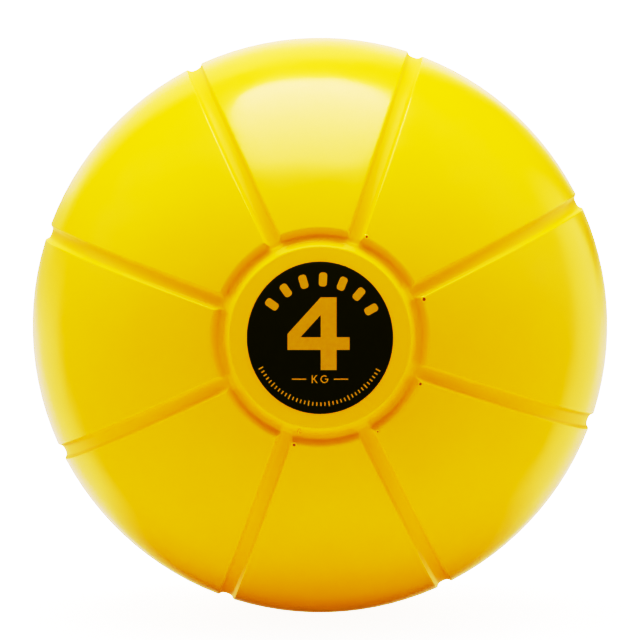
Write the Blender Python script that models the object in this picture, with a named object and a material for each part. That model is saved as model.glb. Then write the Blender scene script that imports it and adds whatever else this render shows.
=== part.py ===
"""Medicine ball: a thick moulded shell with finger grooves, a weight label and an inflation valve.

The origin is the centre of the ball. The poles lie on the Y axis: the weight label faces -Y and the
inflation valve faces +Y. +Z is up when the label reads upright. Units are metres.
"""

import math

import bpy

MM = 0.001

# Ball
BALL_RADIUS = 120 * MM
WALL = 22.6 * MM
GAP = 0.3 * MM  # clearance between neighbouring pieces

# Grooves that run from pole to pole
GROOVE_COUNT = 8
GROOVE_ROLL = math.radians(25.8)  # azimuth of the first groove, from +X towards +Z
GROOVE_WIDTH = 6.5 * MM
GROOVE_DEPTH = 1.9 * MM

# Ring groove around each pole, by distance from the polar axis, and the low dome inside it
PAD_RADIUS = 34.5 * MM
RING_FLOOR_INNER = 37.0 * MM
RING_FLOOR_OUTER = 39.6 * MM
RING_OUTER = 41.9 * MM
RING_DEPTH = 2.5 * MM
PAD_CURVATURE = 200 * MM

# Weight label, a thin slightly oval disc on the front dome
LABEL_HALF_WIDTH = 27.5 * MM
LABEL_HALF_HEIGHT = 28.7 * MM
LABEL_THICKNESS = 0.4 * MM

# Inflation valve, by depth below its outer face
FLANGE_RADIUS = 8.0 * MM
FLANGE_THICKNESS = 2.0 * MM
STEM_RADIUS = 5.5 * MM
BEAD_RADIUS = 7.2 * MM
BEAD_LENGTH = 3.5 * MM
STEM_TIP_RADIUS = 4.2 * MM
STEM_LENGTH = 28.0 * MM
BORE_RADIUS = 3.8 * MM
BORE_LENGTH = 23.0 * MM
AIR_HOLE_RADIUS = 1.5 * MM
PLUG_RADIUS = BORE_RADIUS - GAP
PLUG_RECESS = 0.4 * MM
PLUG_TIP_RADIUS = 2.4 * MM
NEEDLE_RADIUS = 1.0 * MM
NEEDLE_FUNNEL_RADIUS = 1.8 * MM
NEEDLE_FUNNEL_DEPTH = 1.5 * MM
NEEDLE_DEPTH = 14.0 * MM

# Resolution
COLUMNS = 64
PANEL_BANDS = 16
CAVITY_BANDS = 12
VALVE_SEGMENTS = 32
LABEL_SEGMENTS = 48

# Derived sizes
POLE_HEIGHT = (
    math.sqrt(BALL_RADIUS**2 - PAD_RADIUS**2)
    + PAD_CURVATURE
    - math.sqrt(PAD_CURVATURE**2 - PAD_RADIUS**2)
)
CAVITY_RADIUS = BALL_RADIUS - WALL
RECESS_RADIUS = FLANGE_RADIUS + GAP
HOLE_RADIUS = STEM_RADIUS + GAP


def dome_height(distance):
    """Height along the polar axis of the low dome inside the ring groove."""
    return POLE_HEIGHT - PAD_CURVATURE + math.sqrt(PAD_CURVATURE**2 - distance**2)


def sphere_height(distance, radius=BALL_RADIUS):
    """Height along the polar axis of a sphere about the ball's centre."""
    return math.sqrt(radius**2 - distance**2)


VALVE_FACE = dome_height(RECESS_RADIUS)


def even_azimuths(count):
    """Evenly spaced directions around the polar axis."""
    return [GROOVE_ROLL + math.tau * step / count for step in range(count)]


def groove_columns(distance):
    """Directions around the axis and offsets from the groove's middle, with columns on the grooves' edges."""
    sector = math.tau / GROOVE_COUNT
    half_width = GROOVE_WIDTH / 2
    reach = half_width / max(distance, RING_OUTER)
    panel_steps = COLUMNS // GROOVE_COUNT - 4
    columns = []
    for groove in range(GROOVE_COUNT):
        middle = GROOVE_ROLL + groove * sector
        for part in (-1, -0.5, 0, 0.5, 1):
            columns.append((middle + part * reach, part * half_width))
        for step in range(1, panel_steps):
            along = reach + (sector - 2 * reach) * step / panel_steps
            columns.append((middle + along, half_width))
    return columns


def groove_cut(offset):
    """Depth of a round-bottomed groove at an offset from its middle."""
    half_width = GROOVE_WIDTH / 2
    section_radius = (half_width**2 + GROOVE_DEPTH**2) / (2 * GROOVE_DEPTH)
    return math.sqrt(section_radius**2 - offset**2) - section_radius + GROOVE_DEPTH


def around(azimuths, distance, height):
    """A ring of points about the Y axis."""
    return [(distance * math.cos(a), height, distance * math.sin(a)) for a in azimuths]


def grooved_ring(distance, height):
    """A ring of points on the ball's outside, sunk where it crosses the eight grooves."""
    points = []
    for azimuth, offset in groove_columns(distance):
        keep = 1 - groove_cut(offset) / BALL_RADIUS
        reach = distance * keep
        points.append((reach * math.cos(azimuth), height * keep, reach * math.sin(azimuth)))
    return points


def ring_groove(side):
    """The rings of points across one ring groove, from the dome's rim out to the panels."""
    azimuths = [azimuth for azimuth, _ in groove_columns(RING_OUTER)]
    rim = around(azimuths, PAD_RADIUS, side * sphere_height(PAD_RADIUS))
    floors = [
        around(azimuths, distance, side * (sphere_height(distance) - RING_DEPTH))
        for distance in (RING_FLOOR_INNER, RING_FLOOR_OUTER)
    ]
    panel_edge = grooved_ring(RING_OUTER, side * sphere_height(RING_OUTER))
    return [rim, *floors, panel_edge]


def panel_rings():
    """The rings of points between the two ring grooves, front to back."""
    start = math.asin(RING_OUTER / BALL_RADIUS)
    span = math.pi - 2 * start
    rings = []
    for band in range(1, PANEL_BANDS):
        polar = start + span * band / PANEL_BANDS
        rings.append(grooved_ring(BALL_RADIUS * math.sin(polar), -BALL_RADIUS * math.cos(polar)))
    return rings


def valve_passage():
    """The rings of the flange's recess and of the hole through the wall, from outside to inside."""
    azimuths = even_azimuths(COLUMNS)
    recess_floor = VALVE_FACE - FLANGE_THICKNESS - GAP
    hole_end = sphere_height(HOLE_RADIUS, CAVITY_RADIUS)
    return [
        around(azimuths, RECESS_RADIUS, VALVE_FACE),
        around(azimuths, RECESS_RADIUS, recess_floor),
        around(azimuths, HOLE_RADIUS, recess_floor),
        around(azimuths, HOLE_RADIUS, hole_end),
    ]


def cavity_rings():
    """The rings of the air space, from the valve hole to just short of the front."""
    azimuths = even_azimuths(COLUMNS)
    start = math.asin(HOLE_RADIUS / CAVITY_RADIUS)
    rings = []
    for band in range(1, CAVITY_BANDS):
        polar = start + (math.pi - start) * band / CAVITY_BANDS
        rings.append(around(azimuths, CAVITY_RADIUS * math.sin(polar), CAVITY_RADIUS * math.cos(polar)))
    return rings


def band_faces(first, second, count):
    """Four-sided faces between two neighbouring rings, given the index of each ring's first point."""
    faces = []
    for i in range(count):
        j = (i + 1) % count
        faces.append((first + i, second + i, second + j, first + j))
    return faces


def build_mesh(name, rings, start_point=None, end_point=None):
    """A closed mesh through a row of rings: it ends in a point at each end, or joins up like a tube."""
    count = len(rings[0])
    vertices = [point for ring in rings for point in ring]
    faces = []
    for row in range(len(rings) - 1):
        faces += band_faces(row * count, (row + 1) * count, count)
    last = (len(rings) - 1) * count
    if start_point is None:
        faces += band_faces(last, 0, count)
    else:
        tip = len(vertices)
        vertices += [start_point, end_point]
        faces += [(tip, i, (i + 1) % count) for i in range(count)]
        faces += [(tip + 1, last + (i + 1) % count, last + i) for i in range(count)]
    mesh = bpy.data.meshes.new(name)
    mesh.from_pydata(vertices, [], faces)
    mesh.validate()
    return mesh


def turned_rings(outline):
    """Rings for a turned piece, from (distance, height) points along its outline."""
    azimuths = even_azimuths(VALVE_SEGMENTS)
    return [around(azimuths, distance, height) for distance, height in outline]


def material(name, color, roughness):
    """A plain plastic or rubber material."""
    made = bpy.data.materials.new(name)
    made.use_nodes = True
    shader = made.node_tree.nodes["Principled BSDF"]
    shader.inputs["Base Color"].default_value = (*color, 1.0)
    shader.inputs["Roughness"].default_value = roughness
    shader.inputs["Metallic"].default_value = 0.0
    return made


def add_object(name, mesh, surface, location=(0, 0, 0)):
    """Put a mesh in the scene with its material, shaded smooth between its sharp edges."""
    mesh.materials.append(surface)
    mesh.shade_smooth()
    mesh.set_sharp_from_angle(angle=math.radians(35))
    made = bpy.data.objects.new(name, mesh)
    made.location = location
    bpy.context.scene.collection.objects.link(made)
    return made


def make_shell():
    """The one-piece moulded ball, with both domes, all grooves, the air space and the valve hole."""
    azimuths = even_azimuths(COLUMNS)
    dome = [(PAD_RADIUS * part, dome_height(PAD_RADIUS * part)) for part in (0.35, 0.7)]
    rings = [around(azimuths, distance, -height) for distance, height in dome]
    rings += ring_groove(-1)
    rings += panel_rings()
    rings += reversed(ring_groove(1))
    outer_distance, outer_height = dome[1]
    rings.append(around(azimuths, outer_distance, outer_height))
    rings += valve_passage()
    rings += cavity_rings()
    mesh = build_mesh("shell", rings, (0, -POLE_HEIGHT, 0), (0, -CAVITY_RADIUS, 0))
    return add_object("shell", mesh, material("shell_yellow", (0.88, 0.44, 0.002), 0.22))


def label_ring(part, lift):
    """A slightly oval ring on the front dome, at a part of the label's size and a lift above the dome."""
    points = []
    for step in range(LABEL_SEGMENTS):
        azimuth = math.tau * step / LABEL_SEGMENTS
        x = part * LABEL_HALF_WIDTH * math.cos(azimuth)
        z = part * LABEL_HALF_HEIGHT * math.sin(azimuth)
        points.append((x, -dome_height(math.hypot(x, z)) - lift, z))
    return points


def make_label():
    """The thin black disc that carries the weight marking."""
    top = GAP + LABEL_THICKNESS
    parts = (0.35, 0.7, 1.0)
    rings = [label_ring(part, top) for part in parts]
    rings += [label_ring(part, GAP) for part in reversed(parts)]
    mesh = build_mesh("weight_label", rings, (0, -POLE_HEIGHT - top, 0), (0, -POLE_HEIGHT - GAP, 0))
    return add_object("weight_label", mesh, material("label_black", (0.012, 0.010, 0.010), 0.35))


def make_valve_body():
    """The rubber valve: a flange outside, a stem through the wall and a bead that holds it inside."""
    bead_start = sphere_height(HOLE_RADIUS, CAVITY_RADIUS) - VALVE_FACE - GAP
    outline = [
        (AIR_HOLE_RADIUS, -STEM_LENGTH),
        (STEM_TIP_RADIUS, -STEM_LENGTH),
        (BEAD_RADIUS, bead_start - BEAD_LENGTH),
        (BEAD_RADIUS, bead_start),
        (STEM_RADIUS, bead_start),
        (STEM_RADIUS, -FLANGE_THICKNESS),
        (FLANGE_RADIUS, -FLANGE_THICKNESS),
        (FLANGE_RADIUS, 0),
        (BORE_RADIUS, 0),
        (BORE_RADIUS, -BORE_LENGTH),
        (AIR_HOLE_RADIUS, -BORE_LENGTH),
    ]
    mesh = build_mesh("valve_body", turned_rings(outline))
    surface = material("valve_black", (0.020, 0.020, 0.022), 0.60)
    return add_object("valve_body", mesh, surface, (0, VALVE_FACE, 0))


def make_valve_plug():
    """The self-sealing plug in the valve's bore, with the blind channel that guides the needle in."""
    bottom = GAP - BORE_LENGTH
    taper = PLUG_RADIUS - PLUG_TIP_RADIUS
    outline = [
        (PLUG_TIP_RADIUS, bottom),
        (PLUG_RADIUS, bottom + taper),
        (PLUG_RADIUS, -PLUG_RECESS),
        (NEEDLE_FUNNEL_RADIUS, -PLUG_RECESS),
        (NEEDLE_RADIUS, -PLUG_RECESS - NEEDLE_FUNNEL_DEPTH),
        (NEEDLE_RADIUS, -NEEDLE_DEPTH),
    ]
    mesh = build_mesh("valve_plug", turned_rings(outline), (0, bottom, 0), (0, -NEEDLE_DEPTH, 0))
    surface = material("plug_grey", (0.055, 0.055, 0.058), 0.50)
    return add_object("valve_plug", mesh, surface, (0, VALVE_FACE, 0))


def clear_scene():
    """Remove everything that the scene holds."""
    for old in list(bpy.data.objects):
        bpy.data.objects.remove(old, do_unlink=True)


clear_scene()
make_shell()
make_label()
make_valve_body()
make_valve_plug()
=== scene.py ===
"""Looks of the medicine ball: a fine moulded shell, the printed label, the rubber valve, and a soft studio.

Everything is in metres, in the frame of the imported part: the ball's centre is the origin, the label
faces -Y, the inflation valve faces +Y, and +Z is up.
"""
import math

import bpy
import numpy as np
from mathutils import Matrix, Vector
from mathutils.geometry import delaunay_2d_cdt


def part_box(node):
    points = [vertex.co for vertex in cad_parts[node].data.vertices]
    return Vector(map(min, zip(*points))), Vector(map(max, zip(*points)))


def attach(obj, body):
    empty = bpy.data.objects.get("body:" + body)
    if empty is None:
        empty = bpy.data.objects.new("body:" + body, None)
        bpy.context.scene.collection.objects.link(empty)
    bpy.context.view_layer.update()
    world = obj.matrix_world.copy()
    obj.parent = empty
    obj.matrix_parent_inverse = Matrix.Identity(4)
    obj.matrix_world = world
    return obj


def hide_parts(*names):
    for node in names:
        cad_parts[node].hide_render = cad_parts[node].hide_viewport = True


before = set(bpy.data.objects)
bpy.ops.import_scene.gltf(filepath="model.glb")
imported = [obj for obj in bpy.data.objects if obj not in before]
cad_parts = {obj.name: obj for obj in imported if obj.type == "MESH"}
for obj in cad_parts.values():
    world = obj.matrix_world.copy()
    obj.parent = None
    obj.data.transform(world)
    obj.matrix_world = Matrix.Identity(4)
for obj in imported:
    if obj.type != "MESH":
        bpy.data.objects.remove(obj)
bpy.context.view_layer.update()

MM = 0.001

# Sizes that the frame gives
SHELL_POINTS = np.array([v.co[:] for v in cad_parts["shell"].data.vertices])
BALL_RADIUS = float(np.linalg.norm(SHELL_POINTS, axis=1).max())
POLE_HEIGHT = -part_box("shell")[0].y
VALVE_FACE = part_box("valve_body")[1].y
VALVE_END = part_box("valve_body")[0].y
FLANGE_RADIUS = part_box("valve_body")[1].x
PLUG_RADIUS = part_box("valve_plug")[1].x
PLUG_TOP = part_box("valve_plug")[1].y
PLUG_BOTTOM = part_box("valve_plug")[0].y
LABEL_HALF_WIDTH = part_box("weight_label")[1].x
LABEL_HALF_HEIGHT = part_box("weight_label")[1].z

# The moulded surface
WALL = 22.6 * MM
GROOVE_COUNT = 8
GROOVE_ROLL = math.radians(25.8)
GROOVE_WIDTH = 6.5 * MM
GROOVE_DEPTH = 1.9 * MM
GROOVE_SHALLOWING = 0.16  # share of the depth lost on the way from the ring groove to the equator
GROOVE_FLOOR_CURVATURE = 6.0 * MM
GROOVE_WALL_SLOPE = 1.5
GROOVE_EASING = 0.65 * MM
GROOVE_LIP = 0.04  # share of the depth at which the grooves' duller finish starts
PANEL_COLUMNS = 13
PANEL_ROWS = 48
RING_ROWS = np.arange(32.5, 44.5, 0.33) * MM
DOME_ROWS = np.linspace(3, 31, 12) * MM
DOME_ROWS_IN_VALVE = 3
CAVITY_ROWS = 20
PAD_RADIUS = 34.5 * MM
PAD_CURVATURE = 200 * MM
RING_DEPTH = 2.3 * MM
RING_INNER_SLOPE = 0.85
RING_OUTER = 41.4 * MM
RING_OUTER_SLOPE = 1.15
RING_EDGE = 0.4 * MM
RING_CREASE = 1.0 * MM  # how softly the ring groove's two slopes meet
RING_FLOOR_EASING = 0.6 * MM
RING_BRIDGE = 0.3  # share of the ring groove's depth lost where a groove from pole to pole meets it
RING_BRIDGE_WIDTH = 3.4 * MM
SPOKE_START = 37.0 * MM
SPOKE_RUN_IN = 1.5 * MM
MERGE_POWER = 6  # how sharply the ring groove and the other grooves meet
PARTING_HEIGHT = 0.06 * MM
PARTING_HALF_WIDTH = 0.3 * MM
VENT_DISTANCE = 41.9 * MM
VENT_OFFSET = math.radians(5.7)
VENT_COLLAR_WIDTH = 0.8 * MM
VENT_COLLAR_HEIGHT = 0.15 * MM
FLASH_START = 35.3 * MM
FLASH_END = 38.6 * MM
FLASH_AZIMUTH = math.radians(-102.6)
FLASH_HEIGHT = 0.7 * MM
FLASH_HALF_WIDTH = 0.4 * MM
FLASH_TAPER = 0.6
# Each vent mark's groove, the side of the groove that it stands on, and its radius in mm
VENTS = ((0, -1, 0.62), (1, -1, 0.38), (7, -1, 0.46), (6, 1, 0.26), (5, 1, 0.5))

# The valve
GAP = 0.3 * MM
FLANGE_THICKNESS = 2.0 * MM
FLANGE_OVERHANG = 2.5 * MM  # how far the flange reaches past the stem
PASSAGE_EDGE = 0.35 * MM
PASSAGE_LAND = 2.2 * MM  # the plain ring of the dome around the recess
CHANNEL_RADIUS = 0.95 * MM

# The label
VINYL_LIFT = 0.02 * MM
VINYL_THICKNESS = 0.22 * MM
VINYL_EDGE = 0.12 * MM
INK_THICKNESS = 0.05 * MM
INK_OVERLAP = 0.03 * MM
INK_STEP = 1.2 * MM

# Colours and finishes
PANEL_YELLOW = (0.88, 0.44, 0.001)
PANEL_TONES = ((0.87, 0.43, 0.001), (0.89, 0.45, 0.0015))
# Painted shade for the grooves: a darker, more orange yellow, and the share of it that the deepest point
# takes.
GROOVE_SHADE_YELLOW = (0.84, 0.38, 0.001)
GROOVE_SHADE_SHARE = 0.62
PANEL_ROUGHNESS = 0.185
PANEL_SPECULAR = 0.5
GROOVE_ROUGHNESS = 0.32
GROOVE_SPECULAR = 0.12
# Dark red-brown painted into each vent mark as the shade of its hole.
HOLE_SHADE_BROWN = (0.34, 0.05, 0.004)
VINYL_BLACK = (0.0075, 0.004, 0.009)
VINYL_TONES = ((0.006, 0.003, 0.007), (0.009, 0.005, 0.011))
INK_GOLD = (0.62, 0.325, 0.001)
INK_TONES = ((0.58, 0.30, 0.0005), (0.66, 0.35, 0.001))
VALVE_BLACK = (0.020, 0.020, 0.022)
PLUG_GREY = (0.055, 0.055, 0.058)

# Camera and stage
CAMERA_DISTANCE = 9.5 * BALL_RADIUS
CAMERA_ELEVATION = math.radians(2.4)
CAMERA_LENS = 152.8
AIM_HEIGHT = 2.1 * MM
SOFTBOX_HEIGHT = 1.2
SOFTBOX_MIDDLE = (-0.05, -0.055)  # sideways and back, as parts of its height
SOFTBOX_HALF = (0.41, 0.47)
SOFTBOX_TURN = math.radians(-5)
SOFTBOX_CORNER_POWER = 4
SOFTBOX_EDGE = (1.05, 0.9)
SOFTBOX_RADIANCE = 5.6
ROOM_FRONT = 0.085
ROOM_SIDES = 2.95
ROOM_REAR = 0.5
ROOM_FRONT_TO_SIDES = (-0.85, 0.45)
ROOM_SIDES_TO_REAR = (0.4, 0.8)
WALL_BRIGHTNESS = 1.0
DARK_SIDE = 0.01
BACKDROP_BRIGHTNESS = 3.0
FLOOR_GREY = 0.45
FLOOR_GLOW = 1.6
FLOOR_FADE = (0.3, 1.0)
UNDERGLOW = 0.52
UNDERGLOW_FADE = (0.12, 0.45)
TONE_WHITE = 4.0
TONE_BLUE_BLACK = 0.022
TONE_POINTS = ((0.1, 0.05), (0.2, 0.136), (0.28, 0.30), (0.4, 0.52), (0.5, 0.64), (0.64, 0.742), (0.8, 0.80),
               (1.1, 0.875), (1.6, 0.94), (2.2, 0.985))

# The white wall that shows in the gloss, by direction from the ball: x to the right of the label, y away
# from it and z up. A pair is where a soft edge starts and where it ends.
SHEET_MIDDLE = (-0.175, 0.20)  # x and z, as parts of y
SHEET_HALF = (0.515, 0.95)
SHEET_CORNER_POWER = 3.0
SHEET_OUTLINE = (1.3, 0.7)
SHEET_FRONT = (0.0, 0.1)
WING_TOP = (0.25, -0.10)
WING_RISE = 0.45  # how much the right wing's top rises with x
WING_FRONT = (0.49, 0.59)
WING_TURN = 0.045
WING_SHADE = (0.10, 0.45, 0.4, 1.0)  # from the inner to the outer distance, from dim to bright
SLIT = (0.30, 0.49)  # its two sides
SLIT_SLANT = 0.35
SLIT_FOOT = (0.02, 0.08)
SLIT_SOFTNESS = 0.03
SLIT_SHADE = 0.95
DIP = (0.14, 0.55)  # its two sides
DIP_TOP = (0.03, -0.05)
DIP_RISE = 0.42
DIP_FOOT = (-0.08, 0.07)
DIP_SOFTNESS = 0.05
DIP_SHADE = 0.55
WALL_FOOT = (-0.36, -0.12)
WALL_FOOT_DROP = 0.5


# ---------------------------------------------------------------- the moulded surface

def smooth_max(first, second, width):
    """The larger of two values, blended where they are within a width of each other."""
    blend = np.clip(0.5 + 0.5 * (first - second) / width, 0, 1)
    return second + (first - second) * blend + width * blend * (1 - blend)


def smooth_min(first, second, width):
    """The smaller of two values, blended where they are within a width of each other."""
    return -smooth_max(-first, -second, width)


def groove_depth(offset):
    """Depth of a groove at an offset from its middle: a shallow curved floor between short steep walls."""
    offset = np.abs(offset)
    floor = GROOVE_DEPTH - offset**2 / (2 * GROOVE_FLOOR_CURVATURE)
    wall = (GROOVE_WIDTH / 2 - offset) * GROOVE_WALL_SLOPE
    return smooth_max(smooth_min(floor, wall, GROOVE_EASING), 0, GROOVE_EASING)


def ring_depth(distance):
    """Depth of the ring groove: a slope down from the dome's rim, then a steeper outer wall."""
    inner = (distance - PAD_RADIUS) * RING_INNER_SLOPE
    outer = (RING_OUTER - distance) * RING_OUTER_SLOPE
    floor = smooth_min(smooth_min(inner, outer, RING_CREASE), RING_DEPTH, RING_FLOOR_EASING)
    return smooth_max(floor, 0, RING_EDGE)


def base_height(distance):
    """Height along the polar axis of the ungrooved surface: a low dome inside the rim, else the sphere."""
    if distance < PAD_RADIUS:
        return POLE_HEIGHT - PAD_CURVATURE + math.sqrt(PAD_CURVATURE**2 - distance**2)
    return math.sqrt(BALL_RADIUS**2 - distance**2)


def column_layout():
    """For each mesh column: the groove it belongs to, and its offset from it or its share of the panel."""
    floor = np.linspace(0, 1.8, 6)
    wall_and_edge = np.arange(2.05, 3.7, 0.12)
    near = np.concatenate([floor, wall_and_edge, [4.0]]) * MM
    offsets = np.concatenate([-near[:0:-1], near])
    columns = []
    for groove in range(GROOVE_COUNT):
        columns += [(groove, offset, 0.0) for offset in offsets]
        columns += [(groove, offsets[-1], part / PANEL_COLUMNS) for part in range(1, PANEL_COLUMNS)]
    return np.array(columns)


COLUMN_GROOVES, COLUMN_OFFSETS, COLUMN_SHARES = column_layout().T


def column_azimuths(distance):
    """The direction of every column at a distance from the polar axis."""
    sector = math.tau / GROOVE_COUNT
    spread = max(distance, SPOKE_START)
    edge = COLUMN_OFFSETS.max() / spread
    panel = COLUMN_SHARES * (sector - 2 * edge)
    return GROOVE_ROLL + COLUMN_GROOVES * sector + COLUMN_OFFSETS / spread + panel


def circle_points(distance, height, azimuths):
    """Points at some directions on a circle around the polar axis."""
    return np.stack([distance * np.cos(azimuths), np.full(len(azimuths), height),
                     distance * np.sin(azimuths)], axis=1)


def plain_row(distance, height):
    """One row of points around the polar axis, on the mesh columns."""
    return circle_points(distance, height, column_azimuths(distance))


def moulded_row(distance, height, side):
    """One row of points around the ball with every groove sunk in, and how deep each point is sunk."""
    offsets = np.where(COLUMN_SHARES > 0, GROOVE_WIDTH, COLUMN_OFFSETS)
    ring = ring_depth(distance) * (1 - RING_BRIDGE * np.exp(-(offsets / RING_BRIDGE_WIDTH) ** 4))
    reach = np.clip((distance - SPOKE_START) / SPOKE_RUN_IN, 0, 1)
    outward = np.clip((distance - RING_OUTER) / (BALL_RADIUS - RING_OUTER), 0, 1)
    spoke = groove_depth(offsets) * reach * (1 - GROOVE_SHALLOWING * outward)
    depth = (ring**MERGE_POWER + spoke**MERGE_POWER) ** (1 / MERGE_POWER)
    parting = PARTING_HEIGHT * max(0, 1 - (height / PARTING_HALF_WIDTH) ** 2)
    keep = 1 - (depth - parting) / math.hypot(distance, height)
    return plain_row(distance, side * height) * keep[:, None], depth


def polar_rows():
    """(distance, height) of each row from the rim of a dome to the equator."""
    rim = [(distance, base_height(distance)) for distance in RING_ROWS]
    start = math.asin(rim[-1][0] / BALL_RADIUS)
    panel = []
    for polar in np.linspace(start, math.pi / 2, PANEL_ROWS)[1:-1]:
        panel.append((BALL_RADIUS * math.sin(polar), BALL_RADIUS * math.cos(polar)))
    for height in np.array([1.3, 1.0, 0.67, 0.33, 0]) * PARTING_HALF_WIDTH:
        panel.append((math.sqrt(BALL_RADIUS**2 - height**2), height))
    return rim, panel


def strip_faces(first, second, count):
    """The faces between two rows of a mesh, each row a closed ring of so many points."""
    a, b = first * count, second * count
    steps = [(i, (i + 1) % count) for i in range(count)]
    return [[a + i, b + i, b + j, a + j] for i, j in steps]


def grid_mesh(name, rows, start_point, end_point):
    """A closed mesh through rows of points, ending in one point at each end."""
    count = len(rows[0])
    points = np.concatenate(rows + [np.array([start_point, end_point])])
    faces = []
    for row in range(len(rows) - 1):
        faces += strip_faces(row, row + 1, count)
    tip, last = len(points) - 2, (len(rows) - 1) * count
    steps = [(i, (i + 1) % count) for i in range(count)]
    faces += [[tip, i, j] for i, j in steps]
    faces += [[tip + 1, last + j, last + i] for i, j in steps]
    mesh = bpy.data.meshes.new(name)
    mesh.from_pydata(points.tolist(), [], faces)
    mesh.shade_smooth()
    return mesh


def link(name, mesh, surface):
    """Put a mesh in the scene with its material."""
    mesh.materials.append(surface)
    made = bpy.data.objects.new(name, mesh)
    bpy.context.scene.collection.objects.link(made)
    return made


def valve_passage():
    """Rows down the recess for the valve's flange and through the wall, each edge eased."""
    recess = FLANGE_RADIUS + GAP
    hole = recess - FLANGE_OVERHANG
    floor = VALVE_FACE - FLANGE_THICKNESS - GAP
    edge = PASSAGE_EDGE
    end = math.sqrt((BALL_RADIUS - WALL) ** 2 - hole**2)
    rim = base_height(recess + edge)
    outside = recess + PASSAGE_LAND
    outline = [(outside, base_height(outside)), (recess + edge, rim)]
    for turn in np.linspace(0.2, 1.0, 5) * math.pi / 2:
        outline.append((recess + edge * (1 - math.sin(turn)), rim - edge * (1 - math.cos(turn))))
    outline += [(recess, floor), (hole + edge, floor), (hole, floor - edge), (hole, end)]
    return [plain_row(distance, height) for distance, height in outline]


def make_shell(surface, groove_surface):
    """The whole moulded ball: outside, valve hole and air space, as one closed surface."""
    rim, panel = polar_rows()
    dome = [(distance, base_height(distance)) for distance in DOME_ROWS]
    rows, depths = [], []

    def add(row, depth=None):
        rows.append(row)
        depths.append(np.zeros_like(COLUMN_OFFSETS) if depth is None else depth)

    for distance, height in dome:
        add(plain_row(distance, -height))
    for distance, height in rim + panel:
        add(*moulded_row(distance, height, -1))
    for distance, height in list(reversed(rim + panel))[1:]:
        add(*moulded_row(distance, height, 1))
    for distance, height in reversed(dome[DOME_ROWS_IN_VALVE:]):
        add(plain_row(distance, height))
    for row in valve_passage():
        add(row)
    cavity = BALL_RADIUS - WALL
    start = math.asin((FLANGE_RADIUS + GAP - FLANGE_OVERHANG) / cavity)
    for polar in np.linspace(start, math.pi, CAVITY_ROWS)[1:-1]:
        add(plain_row(cavity * math.sin(polar), cavity * math.cos(polar)))
    mesh = grid_mesh("shell_moulded", rows, (0, -POLE_HEIGHT, 0), (0, -cavity, 0))
    sunk = np.concatenate(depths + [np.zeros(2)]) / GROOVE_DEPTH
    attribute = mesh.attributes.new("sunk", "FLOAT", "POINT")
    attribute.data.foreach_set("value", sunk.astype(np.float32))
    shell = link("shell_moulded", mesh, surface)
    mesh.materials.append(groove_surface)
    for face in mesh.polygons:
        face.material_index = int(sunk[list(face.vertices)].mean() > GROOVE_LIP)
    return shell


# ---------------------------------------------------------------- turned pieces

def eased(outline, radius, steps=4):
    """The outline with each corner replaced by a short arc-like curve."""
    points = []
    count = len(outline)
    for index in range(count):
        corner = Vector(outline[index])
        before = Vector(outline[index - 1]) - corner
        after = Vector(outline[(index + 1) % count]) - corner
        reach = min(radius, before.length * 0.45, after.length * 0.45)
        first = corner + before.normalized() * reach
        last = corner + after.normalized() * reach
        for step in range(steps + 1):
            t = step / steps
            points.append(first * (1 - t) ** 2 + corner * 2 * t * (1 - t) + last * t**2)
    return points


def turned(name, outline, surface, segments=96, closed=True):
    """A piece turned about the polar axis, from (distance, height) points along its outline.

    A closed outline makes a ring; an open one is capped at its two ends.
    """
    azimuths = np.arange(segments) * math.tau / segments
    points = np.concatenate([circle_points(distance, height, azimuths) for distance, height in outline])
    last = len(outline) - 1
    faces = []
    for row in range(last):
        faces += strip_faces(row, row + 1, segments)
    if closed:
        faces += strip_faces(last, 0, segments)
    else:
        faces.append(list(range(segments)))
        faces.append(list(reversed(range(last * segments, (last + 1) * segments))))
    mesh = bpy.data.meshes.new(name)
    mesh.from_pydata(points.tolist(), [], faces)
    mesh.shade_smooth()
    mesh.set_sharp_from_angle(angle=math.radians(50))
    return link(name, mesh, surface)


def make_valve_body(surface):
    """The rubber valve, with a raised lip round the plug and a shallow dish in its flange."""
    bore = PLUG_RADIUS + GAP
    mouth = 1.5 * MM
    bead = FLANGE_RADIUS - 0.8 * MM
    bead_start = math.sqrt((BALL_RADIUS - WALL) ** 2 - (FLANGE_RADIUS - 2.2 * MM) ** 2) - GAP
    stem = FLANGE_RADIUS - FLANGE_OVERHANG
    underside = VALVE_FACE - FLANGE_THICKNESS
    dish = VALVE_FACE - 0.25 * MM
    outline = [
        (mouth, VALVE_END),
        (4.2 * MM, VALVE_END),
        (bead, bead_start - 3.5 * MM),
        (bead, bead_start),
        (stem, bead_start),
        (stem, underside),
        (FLANGE_RADIUS, underside),
        (FLANGE_RADIUS, VALVE_FACE),
        (FLANGE_RADIUS - 1.3 * MM, VALVE_FACE),
        (FLANGE_RADIUS - 1.7 * MM, dish),
        (bore + 1.5 * MM, dish),
        (bore + 1.1 * MM, VALVE_FACE),
        (bore, VALVE_FACE),
        (bore, PLUG_BOTTOM - GAP),
        (mouth, PLUG_BOTTOM - GAP),
    ]
    return turned("valve_rubber", eased(outline, 0.3 * MM), surface)


def make_valve_plug(surface):
    """The self-sealing plug, with the dimple and channel that guide the needle."""
    outline = [
        (2.4 * MM, PLUG_BOTTOM),
        (PLUG_RADIUS, PLUG_BOTTOM + 1.1 * MM),
        (PLUG_RADIUS, PLUG_TOP),
        (2.3 * MM, PLUG_TOP),
        (CHANNEL_RADIUS, PLUG_TOP - 1.5 * MM),
        (0.9 * MM, PLUG_TOP - 13.6 * MM),
    ]
    steps = 4
    points = eased(outline, 0.35 * MM, steps)[steps + 1:]
    points = [(2.0 * MM, PLUG_BOTTOM), (2.6 * MM, PLUG_BOTTOM + 0.1 * MM)] + points
    return turned("plug_rubber", points, surface, closed=False)


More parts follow.
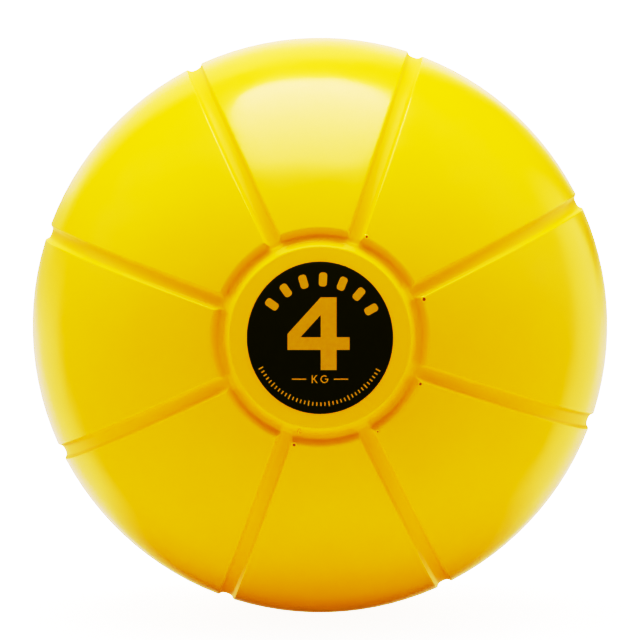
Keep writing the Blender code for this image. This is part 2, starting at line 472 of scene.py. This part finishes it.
def moved_to_surface(made, distance, azimuth):
    """Move a small turned piece from the origin onto the front of the ball, square to its surface."""
    height = math.sqrt(BALL_RADIUS**2 - distance**2)
    place = Vector((distance * math.cos(azimuth), -height, distance * math.sin(azimuth)))
    turn = Vector((0, 1, 0)).rotation_difference(place.normalized()).to_matrix().to_4x4()
    made.data.transform(Matrix.Translation(place) @ turn)


def make_vents(collar_surface, hole_shade_surface):
    """The marks of the mould's vents at the panel corners: a raised collar round a dark plug that is painted
    shade for the vent hole.
    """
    made = []
    for number, (groove, side, radius) in enumerate(VENTS):
        r = radius * MM
        azimuth = GROOVE_ROLL + groove * math.tau / GROOVE_COUNT + side * VENT_OFFSET
        collar = [(r + VENT_COLLAR_WIDTH, -VENT_COLLAR_HEIGHT), (r + 0.45 * MM, 0.12 * MM),
                  (r, VENT_COLLAR_HEIGHT), (r, -VENT_COLLAR_HEIGHT)]
        # Painted shade: a dark disc inside the collar stands for the shade in the vent hole.
        hole_shade = [(0.3 * r, -0.08 * MM), (0.98 * r, -0.08 * MM), (0.98 * r, 0.02 * MM), (0.8 * r, 0.05 * MM),
                 (0.3 * r, 0.07 * MM)]
        pieces = [turned(f"vent_collar_{number}", eased(collar, 0.1 * MM, 2), collar_surface, 24),
                  turned(f"vent_shade_disc_{number}", hole_shade, hole_shade_surface, 24, closed=False)]
        for piece in pieces:
            moved_to_surface(piece, VENT_DISTANCE, azimuth)
        made += pieces
    return made


def make_flash(surface):
    """A short thread of flash that crosses the slope of the ring groove, thickest in its middle."""
    steps = 16
    sides = 10
    rows = []
    for step in range(1, steps):
        part = step / steps
        swell = math.sin(part * math.pi) ** FLASH_TAPER
        distance = FLASH_START + (FLASH_END - FLASH_START) * part
        sphere = math.sqrt(BALL_RADIUS**2 - distance**2)
        keep = 1 - ring_depth(distance) / BALL_RADIUS
        row = []
        for turn in -np.arange(sides) * math.tau / sides:
            across = FLASH_HALF_WIDTH * swell * math.cos(turn)
            lift = FLASH_HEIGHT * swell * math.sin(turn)
            azimuth = FLASH_AZIMUTH + across / distance
            out = keep + lift / BALL_RADIUS
            row.append((out * distance * math.cos(azimuth), -out * sphere,
                        out * distance * math.sin(azimuth)))
        rows.append(np.array(row))
    mesh = grid_mesh("flash_thread", rows, rows[0].mean(axis=0), rows[-1].mean(axis=0))
    return link("flash_thread", mesh, surface)


# ---------------------------------------------------------------- label and print

def dome_y(x, z, lift):
    """Height on the front dome, lifted off it, as a Y value."""
    return -(base_height(math.hypot(x, z)) + lift)


def make_label(surface):
    """The vinyl disc, domed with the pole and rounded at its cut edge."""
    segments = 192
    edge = VINYL_EDGE
    top = VINYL_LIFT + VINYL_THICKNESS
    profile = [(part, 0.0, top) for part in (0.1, 0.3, 0.5, 0.7, 0.85, 0.95)]
    profile += [(1.0, -edge, top), (1.0, -0.3 * edge, top - 0.3 * edge), (1.0, 0, top - edge)]
    profile += [(1.0, 0, VINYL_LIFT), (0.9, 0, VINYL_LIFT), (0.5, 0, VINYL_LIFT)]
    rows = []
    for part, inset, lift in profile:
        row = []
        for azimuth in np.arange(segments) * math.tau / segments:
            x = (part * LABEL_HALF_WIDTH + inset) * math.cos(azimuth)
            z = (part * LABEL_HALF_HEIGHT + inset) * math.sin(azimuth)
            row.append((x, dome_y(x, z, lift), z))
        rows.append(np.array(row))
    mesh = grid_mesh("label_vinyl", rows, (0, dome_y(0, 0, top), 0), (0, dome_y(0, 0, VINYL_LIFT), 0))
    mesh.set_sharp_from_angle(angle=math.radians(60))
    return link("label_vinyl", mesh, surface)


def inside(point, outline):
    """Whether a flat point is inside a closed outline."""
    x, y = point
    crossing = False
    for index, (x1, y1) in enumerate(outline):
        x2, y2 = outline[index - 1]
        if (y1 > y) != (y2 > y) and x < (x2 - x1) * (y - y1) / (y2 - y1) + x1:
            crossing = not crossing
    return crossing


def densify(outline, step):
    """The outline with extra points so that no side is longer than a step."""
    points = []
    for index, (x1, y1) in enumerate(outline):
        x2, y2 = outline[(index + 1) % len(outline)]
        pieces = max(1, math.ceil(math.hypot(x2 - x1, y2 - y1) / step))
        for piece in range(pieces):
            points.append((x1 + (x2 - x1) * piece / pieces, y1 + (y2 - y1) * piece / pieces))
    return points


def ink_patch(outlines):
    """Vertices and faces of one printed shape on the label: a flat outline with holes, laid on the dome."""
    step = INK_STEP
    loops = [densify(outline, step) for outline in outlines]
    flat, edges = [], []
    for loop in loops:
        start = len(flat)
        flat += loop
        edges += [(start + k, start + (k + 1) % len(loop)) for k in range(len(loop))]
    low = np.min(flat, axis=0)
    high = np.max(flat, axis=0)
    for x in np.arange(low[0] + step / 2, high[0], step):
        for y in np.arange(low[1] + step / 2, high[1], step):
            flat.append((float(x), float(y)))
    points, _, faces, _, _, _ = delaunay_2d_cdt([Vector(p) for p in flat], edges, [], 0, 1e-7)
    kept = []
    for face in faces:
        middle = sum((points[k] for k in face), Vector((0, 0))) / len(face)
        inside_count = sum(inside(middle, loop) for loop in loops)
        if inside_count % 2 == 1:
            kept.append(list(face))
    return points, kept


def solid_ink(name, shapes, surface):
    """All the printed shapes as thin raised ink, each closed below, its sides and its top."""
    base = VINYL_LIFT + VINYL_THICKNESS
    vertices, faces = [], []
    for outlines in shapes:
        points, flat_faces = ink_patch(outlines)
        used = sorted({k for face in flat_faces for k in face})
        place = {k: index for index, k in enumerate(used)}
        start, count = len(vertices), len(used)
        for lift in (base + INK_THICKNESS, base - INK_OVERLAP):
            vertices += [(points[k].x, dome_y(points[k].x, points[k].y, lift), points[k].y) for k in used]
        borders = {}
        for face in flat_faces:
            loop = [place[k] for k in face]
            faces.append([start + k for k in loop])
            faces.append([start + count + k for k in reversed(loop)])
            for a, b in zip(loop, loop[1:] + loop[:1]):
                borders[(a, b)] = (b, a) not in borders
                if (b, a) in borders:
                    borders[(b, a)] = False
        for (a, b), border in borders.items():
            if border:
                faces.append([start + b, start + a, start + count + a, start + count + b])
    mesh = bpy.data.meshes.new(name)
    mesh.from_pydata(vertices, [], faces)
    mesh.validate()
    return link(name, mesh, surface)


def place_shape(outline, radius, azimuth):
    """An outline drawn upright about its own middle, moved out along an arc of the label."""
    made = []
    turn = azimuth - math.pi / 2
    for x, y in outline:
        made.append((radius * math.cos(azimuth) + x * math.cos(turn) - y * math.sin(turn),
                     radius * math.sin(azimuth) + x * math.sin(turn) + y * math.cos(turn)))
    return made


def bar(width, height, corner, steps=5):
    """A rounded bar about its own middle."""
    points = []
    for quarter, (sx, sy) in enumerate(((1, 1), (-1, 1), (-1, -1), (1, -1))):
        cx, cy = sx * (width / 2 - corner), sy * (height / 2 - corner)
        for step in range(steps + 1):
            angle = (quarter + step / steps) * math.pi / 2
            points.append((cx + corner * math.cos(angle), cy + corner * math.sin(angle)))
    return points


def numeral_four():
    """A plain block numeral for the mass in kilograms."""
    left, right, top, bottom = -12.3, 11.2, 15.4, -12.1
    stem_left, stem_right = 0.2, 6.3
    bar_top, bar_bottom = 0.4, -4.5
    outer = [
        (stem_left, top), (left, 1.6), (left, bar_bottom), (stem_left, bar_bottom), (stem_left, bottom),
        (stem_right, bottom), (stem_right, bar_bottom), (right, bar_bottom), (right, bar_top),
        (stem_right, bar_top), (stem_right, top),
    ]
    window = [(stem_left, 8.6), (stem_left, bar_top), (-7.2, bar_top)]
    return [[(x * MM, y * MM) for x, y in outline] for outline in (outer, window)]


def unit_mark():
    """The letters of the kilogram's symbol, between two short bars."""
    height, stroke, middle = 3.1, 0.55, -15.5
    low = middle - height / 2
    k = [(0, 0), (stroke, 0), (stroke, 1.05), (0.85, 1.4), (1.75, 0), (2.4, 0), (1.25, 1.8), (2.3, height),
         (1.6, height), (stroke, 1.75), (stroke, height), (0, height)]
    g = []
    radius = height / 2
    for step in range(25):
        angle = math.radians(48 + step * (360 - 48) / 24)
        g.append((radius + radius * math.cos(angle), radius + radius * math.sin(angle)))
    g += [(2 * radius, radius + 0.3), (radius + 0.2, radius + 0.3), (radius + 0.2, radius - 0.22),
          (2 * radius - stroke - 0.1, radius - 0.22)]
    inner = radius - stroke
    for step in range(25):
        angle = math.radians(348 - step * (348 - 48) / 24)
        g.append((radius + inner * math.cos(angle), radius + inner * math.sin(angle)))
    shapes = [[[(x - 3.2, y + low) for x, y in k]], [[(x + 0.1, y + low) for x, y in g]]]
    for side in (-1, 1):
        shapes.append([[(x + side * 7.9, y + middle) for x, y in bar(5.6, 0.55, 0.2, 3)]])
    return [[[(x * MM, y * MM) for x, y in outline] for outline in shape] for shape in shapes]


def arc_marks():
    """Rounded bars over the numeral, and a fine scale of ticks under it."""
    shapes = []
    for step in range(7):
        azimuth = math.radians(145 - step * 19.3)
        shapes.append([place_shape(bar(3.2 * MM, 5.4 * MM, 1.2 * MM), 22.1 * MM, azimuth)])
    for step in range(36):
        azimuth = math.radians(207 + step * 124 / 35)
        length = 2.1 * MM if step % 5 == 0 else 1.5 * MM
        shapes.append([place_shape(bar(0.6 * MM, length, 0.15 * MM, 2), 25.0 * MM, azimuth)])
    return shapes


# ---------------------------------------------------------------- materials

def new_material(name, color, roughness):
    """A material with its shader ready."""
    made = bpy.data.materials.new(name)
    made.use_nodes = True
    shader = made.node_tree.nodes["Principled BSDF"]
    shader.inputs["Base Color"].default_value = (*color, 1)
    shader.inputs["Roughness"].default_value = roughness
    return made, made.node_tree.nodes, made.node_tree.links, shader


def noise(nodes, links, scale, detail=3.0, roughness=0.5):
    """A noise texture in the object's own coordinates."""
    place = nodes.new("ShaderNodeTexCoord")
    made = nodes.new("ShaderNodeTexNoise")
    made.inputs["Scale"].default_value = scale
    made.inputs["Detail"].default_value = detail
    made.inputs["Roughness"].default_value = roughness
    links.new(place.outputs["Object"], made.inputs["Vector"])
    return made.outputs["Fac"]


def mapped(nodes, links, value, low, high, to_low, to_high):
    """A value mapped from one range to another."""
    made = nodes.new("ShaderNodeMapRange")
    made.inputs["From Min"].default_value = low
    made.inputs["From Max"].default_value = high
    made.inputs["To Min"].default_value = to_low
    made.inputs["To Max"].default_value = to_high
    links.new(value, made.inputs["Value"])
    return made.outputs["Result"]


def ramp(nodes, links, value, start, end):
    """A smooth step from 0 at the start to 1 at the end."""
    made = nodes.new("ShaderNodeMapRange")
    made.interpolation_type = "SMOOTHSTEP"
    made.inputs["From Min"].default_value = start
    made.inputs["From Max"].default_value = end
    links.new(value, made.inputs["Value"])
    return made.outputs["Result"]


def calculated(nodes, links, operation, *values):
    """The result of a math node; each value is a number or a socket."""
    made = nodes.new("ShaderNodeMath")
    made.operation = operation
    for socket, value in zip(made.inputs, values):
        if isinstance(value, (int, float)):
            socket.default_value = value
        else:
            links.new(value, socket)
    return made.outputs["Value"]


def band(nodes, links, value, low, high, softness):
    """1 where a value lies between two others and 0 outside them, with soft sides."""
    rising = ramp(nodes, links, value, low - softness, low + softness)
    falling = ramp(nodes, links, value, high + softness, high - softness)
    return calculated(nodes, links, "MULTIPLY", rising, falling)


def mixed(nodes, links, factor, first, second):
    """A colour between two others; each is a colour or a socket."""
    made = nodes.new("ShaderNodeMix")
    made.data_type = "RGBA"
    links.new(factor, made.inputs["Factor"])
    for socket, value in ((made.inputs["A"], first), (made.inputs["B"], second)):
        if isinstance(value, tuple):
            socket.default_value = (*value, 1)
        else:
            links.new(value, socket)
    return made.outputs["Result"]


def bumped(nodes, links, height, strength, distance, normal=None):
    """A bump from a height socket, on top of another bump if one is given."""
    made = nodes.new("ShaderNodeBump")
    made.inputs["Strength"].default_value = strength
    made.inputs["Distance"].default_value = distance
    links.new(height, made.inputs["Height"])
    if normal is not None:
        links.new(normal, made.inputs["Normal"])
    return made.outputs["Normal"]


def shell_material(name, roughness, specular):
    """Satin yellow moulded plastic: faint clouding, painted shade that deepens the colour in the grooves,
    fine orange peel.
    """
    made, nodes, links, shader = new_material(name, PANEL_YELLOW, roughness)
    shader.inputs["IOR"].default_value = 1.5
    shader.inputs["Specular IOR Level"].default_value = specular
    clouds = mapped(nodes, links, noise(nodes, links, 22, 4), 0.3, 0.7, 0, 1)
    body = mixed(nodes, links, clouds, *PANEL_TONES)
    sunk = nodes.new("ShaderNodeAttribute")
    sunk.attribute_name = "sunk"
    # Painted shade: the deeper a point is sunk in a groove, the darker and more orange its colour.
    groove_shade = mapped(nodes, links, sunk.outputs["Fac"], 0.2, 1.0, 0, GROOVE_SHADE_SHARE)
    color = mixed(nodes, links, groove_shade, body, GROOVE_SHADE_YELLOW)
    links.new(color, shader.inputs["Base Color"])
    rub = noise(nodes, links, 60, 6, 0.6)
    rub = mapped(nodes, links, rub, 0.35, 0.75, roughness - 0.03, roughness + 0.04)
    links.new(rub, shader.inputs["Roughness"])
    wave = bumped(nodes, links, noise(nodes, links, 35, 2), 0.10, 2 * MM)
    peel = bumped(nodes, links, noise(nodes, links, 900, 2), 0.10, 0.2 * MM, wave)
    links.new(peel, shader.inputs["Normal"])
    return made


def vinyl_material():
    """Black vinyl with a faint grain."""
    made, nodes, links, shader = new_material("label_vinyl", VINYL_BLACK, 0.45)
    tone = mixed(nodes, links, noise(nodes, links, 500, 3), *VINYL_TONES)
    links.new(tone, shader.inputs["Base Color"])
    links.new(bumped(nodes, links, noise(nodes, links, 1800, 2), 0.12, 0.05 * MM), shader.inputs["Normal"])
    return made


def ink_material():
    """Screen-printed golden ink, slightly uneven."""
    made, nodes, links, shader = new_material("print_ink", INK_GOLD, 0.55)
    tone = mixed(nodes, links, noise(nodes, links, 700, 4, 0.6), *INK_TONES)
    links.new(tone, shader.inputs["Base Color"])
    links.new(bumped(nodes, links, noise(nodes, links, 2500, 2), 0.15, 0.03 * MM), shader.inputs["Normal"])
    return made


def rubber_material(name, color, roughness):
    """Moulded rubber with a fine matt grain and a little bloom."""
    made, nodes, links, shader = new_material(name, color, roughness)
    bloom = mapped(nodes, links, noise(nodes, links, 160, 5, 0.65), 0.35, 0.75, 0, 1)
    dusty = tuple(min(1, channel * 1.9 + 0.01) for channel in color)
    links.new(mixed(nodes, links, bloom, color, dusty), shader.inputs["Base Color"])
    finish = mapped(nodes, links, bloom, 0, 1, roughness - 0.06, roughness + 0.1)
    links.new(finish, shader.inputs["Roughness"])
    links.new(bumped(nodes, links, noise(nodes, links, 2200, 3), 0.25, 0.06 * MM), shader.inputs["Normal"])
    return made


# ---------------------------------------------------------------- the studio

def floor_material():
    """Plain pale studio floor: bright to the camera and fading into the backdrop, dimmer as a light."""
    made, nodes, links, shader = new_material("studio_floor", (0.8, 0.8, 0.8), 0.9)
    tone = mixed(nodes, links, noise(nodes, links, 3, 2), (0.79, 0.79, 0.79), (0.81, 0.81, 0.81))
    links.new(tone, shader.inputs["Base Color"])
    shader.inputs["Specular IOR Level"].default_value = 0
    shader.inputs["Emission Color"].default_value = (1, 1, 1, 1)
    shader.inputs["Emission Strength"].default_value = FLOOR_GLOW
    place = nodes.new("ShaderNodeTexCoord")
    distance = nodes.new("ShaderNodeVectorMath")
    distance.operation = "LENGTH"
    links.new(place.outputs["Object"], distance.inputs[0])
    clear = nodes.new("ShaderNodeBsdfTransparent")
    fading = nodes.new("ShaderNodeMixShader")
    links.new(ramp(nodes, links, distance.outputs["Value"], *FLOOR_FADE), fading.inputs["Fac"])
    links.new(shader.outputs["BSDF"], fading.inputs[1])
    links.new(clear.outputs["BSDF"], fading.inputs[2])
    dim = nodes.new("ShaderNodeBsdfDiffuse")
    dim.inputs["Color"].default_value = (FLOOR_GREY,) * 3 + (1,)
    glow = nodes.new("ShaderNodeEmission")
    near = ramp(nodes, links, distance.outputs["Value"], *reversed(UNDERGLOW_FADE))
    links.new(calculated(nodes, links, "MULTIPLY", near, UNDERGLOW), glow.inputs["Strength"])
    unseen = nodes.new("ShaderNodeAddShader")
    links.new(dim.outputs["BSDF"], unseen.inputs[0])
    links.new(glow.outputs["Emission"], unseen.inputs[1])
    path = nodes.new("ShaderNodeLightPath")
    either = nodes.new("ShaderNodeMixShader")
    links.new(path.outputs["Is Camera Ray"], either.inputs["Fac"])
    links.new(unseen.outputs["Shader"], either.inputs[1])
    links.new(fading.outputs["Shader"], either.inputs[2])
    links.new(either.outputs["Shader"], nodes["Material Output"].inputs["Surface"])
    return made


def make_floor():
    """A wide pale floor that the ball rests on."""
    half = 30.0
    level = -BALL_RADIUS
    mesh = bpy.data.meshes.new("studio_floor")
    corners = [(-half, -half, level), (half, -half, level), (half, half, level), (-half, half, level)]
    mesh.from_pydata(corners, [], [(0, 1, 2, 3)])
    floor = link("studio_floor", mesh, floor_material())
    floor.visible_glossy = False


def make_softbox():
    """The soft overhead light: an even sheet with rounded corners."""
    data = bpy.data.lights.new("overhead_softbox", "AREA")
    data.shape = "RECTANGLE"
    data.size, data.size_y = (2 * SOFTBOX_HEIGHT * half for half in SOFTBOX_HALF)
    data.energy = SOFTBOX_RADIANCE * math.pi * data.size * data.size_y
    data.use_nodes = True
    nodes, links = data.node_tree.nodes, data.node_tree.links
    split = nodes.new("ShaderNodeSeparateXYZ")
    links.new(nodes.new("ShaderNodeNewGeometry").outputs["Parametric"], split.inputs["Vector"])
    reach = []
    for axis in "XY":
        from_middle = calculated(nodes, links, "MULTIPLY_ADD", split.outputs[axis], 2.0, -1.0)
        size = calculated(nodes, links, "ABSOLUTE", from_middle)
        reach.append(calculated(nodes, links, "POWER", size, SOFTBOX_CORNER_POWER))
    outline = calculated(nodes, links, "ADD", *reach)
    links.new(ramp(nodes, links, outline, *SOFTBOX_EDGE), nodes["Emission"].inputs["Strength"])
    made = bpy.data.objects.new("overhead_softbox", data)
    sideways, back = SOFTBOX_MIDDLE
    made.location = (sideways * SOFTBOX_HEIGHT, back * SOFTBOX_HEIGHT, SOFTBOX_HEIGHT)
    made.rotation_euler = (0, 0, SOFTBOX_TURN)
    bpy.context.scene.collection.objects.link(made)


def faded(nodes, links, value, where, share):
    """A value that loses a share of itself where another is 1."""
    kept = calculated(nodes, links, "MULTIPLY_ADD", where, -share, 1.0)
    return calculated(nodes, links, "MULTIPLY", value, kept)


def wall_sheet(nodes, links, x, y, z):
    """The tall sheet behind the ball, with rounded corners: 1 on it and 0 beside it."""
    reach = []
    for direction, middle, half in zip((x, z), SHEET_MIDDLE, SHEET_HALF):
        place = calculated(nodes, links, "DIVIDE", direction, y)
        offset = calculated(nodes, links, "SUBTRACT", place, middle)
        part = calculated(nodes, links, "DIVIDE", calculated(nodes, links, "ABSOLUTE", offset), half)
        reach.append(calculated(nodes, links, "POWER", part, SHEET_CORNER_POWER))
    outline = calculated(nodes, links, "ADD", *reach)
    behind = ramp(nodes, links, y, *SHEET_FRONT)
    return calculated(nodes, links, "MULTIPLY", ramp(nodes, links, outline, *SHEET_OUTLINE), behind)


def wall_wings(nodes, links, x, y, z):
    """The low wings beside the sheet, dimmer towards it; the right one rises and has a slanted slit."""
    rightward = calculated(nodes, links, "MAXIMUM", x, 0.0)
    top = calculated(nodes, links, "MULTIPLY_ADD", rightward, -WING_RISE, z)
    front = calculated(nodes, links, "MULTIPLY_ADD", x, WING_TURN, y)
    wings = calculated(nodes, links, "MULTIPLY", ramp(nodes, links, top, *WING_TOP),
                       ramp(nodes, links, front, *WING_FRONT))
    shade = mapped(nodes, links, calculated(nodes, links, "ABSOLUTE", x), *WING_SHADE)
    wings = calculated(nodes, links, "MULTIPLY", wings, shade)
    slanted = calculated(nodes, links, "MULTIPLY_ADD", z, -SLIT_SLANT, x)
    slit = calculated(nodes, links, "MULTIPLY", band(nodes, links, slanted, *SLIT, SLIT_SOFTNESS),
                      ramp(nodes, links, z, *SLIT_FOOT))
    return faded(nodes, links, wings, slit, SLIT_SHADE)


def white_wall(nodes, links, x, y, z):
    """The sheet and its wings, dimmer in a low dip at each side, and ending above the floor."""
    wall = calculated(nodes, links, "MAXIMUM", wall_sheet(nodes, links, x, y, z),
                      wall_wings(nodes, links, x, y, z))
    sideways = calculated(nodes, links, "ABSOLUTE", x)
    level = calculated(nodes, links, "MULTIPLY_ADD", sideways, -DIP_RISE, z)
    low = calculated(nodes, links, "MULTIPLY", ramp(nodes, links, level, *DIP_TOP),
                     ramp(nodes, links, z, *DIP_FOOT))
    dip = calculated(nodes, links, "MULTIPLY", low, band(nodes, links, sideways, *DIP, DIP_SOFTNESS))
    foot = calculated(nodes, links, "MULTIPLY_ADD", sideways, WALL_FOOT_DROP, z)
    return calculated(nodes, links, "MULTIPLY", faded(nodes, links, wall, dip, DIP_SHADE),
                      ramp(nodes, links, foot, *WALL_FOOT))


def white_background(nodes):
    """A plain white background."""
    made = nodes.new("ShaderNodeBackground")
    made.inputs["Color"].default_value = (1, 1, 1, 1)
    return made


def make_world():
    """A room dim in front, bright at the sides and dimmer behind; a white wall in the gloss; a white view."""
    world = bpy.data.worlds.new("studio")
    bpy.context.scene.world = world
    world.cycles.sampling_method = "NONE"
    world.use_nodes = True
    nodes, links = world.node_tree.nodes, world.node_tree.links
    place = nodes.new("ShaderNodeTexCoord")
    split = nodes.new("ShaderNodeSeparateXYZ")
    links.new(place.outputs["Generated"], split.inputs["Vector"])
    x, y, z = split.outputs
    reflected = white_background(nodes)
    wall = white_wall(nodes, links, x, y, z)
    links.new(mapped(nodes, links, wall, 0, 1, DARK_SIDE, WALL_BRIGHTNESS), reflected.inputs["Strength"])
    room = white_background(nodes)
    to_sides = ramp(nodes, links, y, *ROOM_FRONT_TO_SIDES)
    sides = mapped(nodes, links, to_sides, 0, 1, ROOM_FRONT, ROOM_SIDES)
    to_rear = ramp(nodes, links, y, *ROOM_SIDES_TO_REAR)
    rear = mapped(nodes, links, to_rear, 0, 1, 1, ROOM_REAR / ROOM_SIDES)
    links.new(calculated(nodes, links, "MULTIPLY", sides, rear), room.inputs["Strength"])
    shown = white_background(nodes)
    shown.inputs["Strength"].default_value = BACKDROP_BRIGHTNESS
    path = nodes.new("ShaderNodeLightPath")
    lit = nodes.new("ShaderNodeMixShader")
    links.new(path.outputs["Is Glossy Ray"], lit.inputs["Fac"])
    links.new(room.outputs["Background"], lit.inputs[1])
    links.new(reflected.outputs["Background"], lit.inputs[2])
    seen = nodes.new("ShaderNodeMixShader")
    links.new(path.outputs["Is Camera Ray"], seen.inputs["Fac"])
    links.new(lit.outputs["Shader"], seen.inputs[1])
    links.new(shown.outputs["Background"], seen.inputs[2])
    links.new(seen.outputs["Shader"], nodes["World Output"].inputs["Surface"])


def make_camera():
    """A long lens almost level with the ball, facing the label."""
    data = bpy.data.cameras.new("camera")
    data.lens = CAMERA_LENS
    data.sensor_width = 36
    camera = bpy.data.objects.new("camera", data)
    bpy.context.scene.collection.objects.link(camera)
    back = Vector((0, -math.cos(CAMERA_ELEVATION), math.sin(CAMERA_ELEVATION)))
    camera.location = back * CAMERA_DISTANCE
    aim = Vector((0, 0, AIM_HEIGHT))
    camera.rotation_euler = (aim - camera.location).to_track_quat("-Z", "Y").to_euler()
    bpy.context.scene.camera = camera


def set_tone():
    """A photographic tone curve: a short toe and a soft shoulder, with the darkest blue cut to nothing."""
    settings = bpy.context.scene.view_settings
    settings.view_transform = "Standard"
    settings.look = "None"
    settings.use_curve_mapping = True
    mapping = settings.curve_mapping
    mapping.white_level = (TONE_WHITE,) * 3
    mapping.black_level = (0, 0, TONE_BLUE_BLACK)
    curve = mapping.curves[3]
    for light, shown in TONE_POINTS:
        curve.points.new(light / TONE_WHITE, shown)
    mapping.update()


def make_studio():
    """Floor, overhead softbox, backdrop, camera and tone."""
    make_floor()
    make_softbox()
    make_world()
    make_camera()
    set_tone()


# ---------------------------------------------------------------- assembly

def main():
    yellow = shell_material("shell_panels", PANEL_ROUGHNESS, PANEL_SPECULAR)
    shell = make_shell(yellow, shell_material("shell_grooves", GROOVE_ROUGHNESS, GROOVE_SPECULAR))
    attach(shell, "ball")
    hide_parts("shell")
    # The vents' dark discs are painted shade for their holes.
    hole_shade = new_material("vent_hole_painted_shade", HOLE_SHADE_BROWN, 0.5)[0]
    for mark in [make_flash(yellow)] + make_vents(yellow, hole_shade):
        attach(mark, "ball")

    label = make_label(vinyl_material())
    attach(label, "ball")
    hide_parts("weight_label")

    ink = ink_material()
    prints = (("print_numeral", [numeral_four()]), ("print_unit", unit_mark()), ("print_marks", arc_marks()))
    for name, shapes in prints:
        printed = solid_ink(name, shapes, ink)
        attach(printed, "ball")

    valve = make_valve_body(rubber_material("valve_rubber", VALVE_BLACK, 0.55))
    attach(valve, "ball")
    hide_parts("valve_body")

    plug = make_valve_plug(rubber_material("plug_rubber", PLUG_GREY, 0.48))
    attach(plug, "plug")
    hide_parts("valve_plug")

    make_studio()


main()
